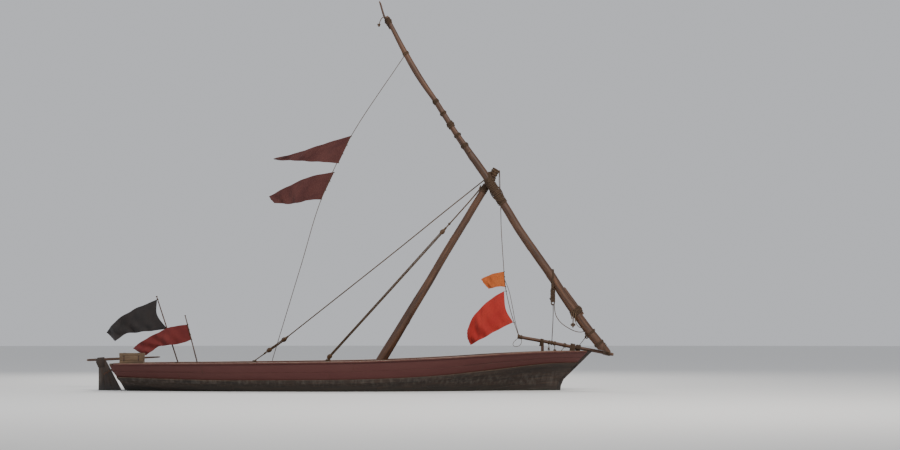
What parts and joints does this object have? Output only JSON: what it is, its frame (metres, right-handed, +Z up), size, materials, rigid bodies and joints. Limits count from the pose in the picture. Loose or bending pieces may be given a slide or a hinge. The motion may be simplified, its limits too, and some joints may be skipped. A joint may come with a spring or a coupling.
{
  "type": "lateen-rigged wooden dhow",
  "caption": "Open wooden dhow with a raking mast, a bare lateen yard hung across it, a bowsprit, a hung rudder with tiller, and flags.",
  "frame": {"origin": "on the centreline at the waterline, amidships", "axes": "+X to the bow, +Y to port, +Z up"},
  "size_m": [11.8269, 2.7336, 9.3142],
  "materials": {
    "hull_wood": "oiled and tarred planking, dull",
    "keel_wood": "tarred hardwood, dull",
    "trim_wood": "red-brown painted wood, worn",
    "deck_wood": "bare weathered planks",
    "spar_wood": "oiled pole, dull",
    "rope": "coir rope, rough",
    "iron": "black iron, rusted",
    "black_cloth": "plain faded cotton",
    "maroon_cloth": "plain faded cotton",
    "red_cloth": "plain faded cotton",
    "orange_cloth": "plain faded cotton"
  },
  "bodies": {
    "hull": {"keel": "keel_wood", "stem": "keel_wood", "sternpost": "keel_wood", "planking_port": "hull_wood", "planking_starboard": "hull_wood", "frames": "hull_wood", "transom": "hull_wood", "rail_port": "trim_wood", "rail_starboard": "trim_wood", "foredeck": "deck_wood", "aft_deck": "deck_wood", "thwart_aft": "deck_wood", "thwart_middle": "deck_wood", "thwart_fore": "deck_wood", "thwart_bow": "deck_wood", "mast_partner": "hull_wood", "mast_step": "keel_wood", "floorboards_port": "deck_wood", "floorboards_starboard": "deck_wood", "mast": "spar_wood", "masthead_lashing": "rope", "bowsprit": "spar_wood", "bowsprit_post": "spar_wood", "bowsprit_chock": "spar_wood", "bowsprit_lashing": "rope", "tack_lashing": "rope", "gudgeon_upper": "iron", "gudgeon_lower": "iron", "locker": "deck_wood", "flagpole_aft": "spar_wood", "flagpole_fore": "spar_wood", "flag_stern_black": "black_cloth", "flag_stern_red": "maroon_cloth", "flag_pennant": "maroon_cloth", "flag_long": "maroon_cloth", "flag_small": "orange_cloth", "flag_bow_red": "red_cloth", "signal_line_aft": "rope", "signal_line_fore": "rope", "backstay": "rope", "halyard": "rope"},
    "yard": {"yard_lower_spar": "spar_wood", "yard_upper_spar": "spar_wood", "yard_peak_pole": "spar_wood", "yard_heel_fish": "spar_wood", "yard_lashing_middle": "rope", "yard_lashing_peak": "rope", "yard_lashing_heel": "rope", "sling": "rope", "hanging_bundle": "rope"},
    "rudder": {"rudder": "hull_wood", "tiller": "spar_wood", "pintle_upper": "iron", "pintle_lower": "iron"},
    "locker_lid": {"locker_lid": "deck_wood"}
  },
  "joints": [
    {"name": "rudder_hinge", "type": "hinge", "parent": "hull", "child": "rudder", "pos_m": [-4.9477, 0, 0], "axis": [-0.5028, 0, 0.8644], "range_deg": [-30, 30]},
    {"name": "yard_swing", "type": "hinge", "parent": "hull", "child": "yard", "pos_m": [3.2918, 0, 4.78], "axis": [0.5151, 0, 0.8571], "range_deg": [-8, 0]},
    {"name": "locker_lid_hinge", "type": "hinge", "parent": "hull", "child": "locker_lid", "pos_m": [-4.671, -0.75, 0.778], "axis": [1, 0, 0], "range_deg": [0, 100]}
  ]
}
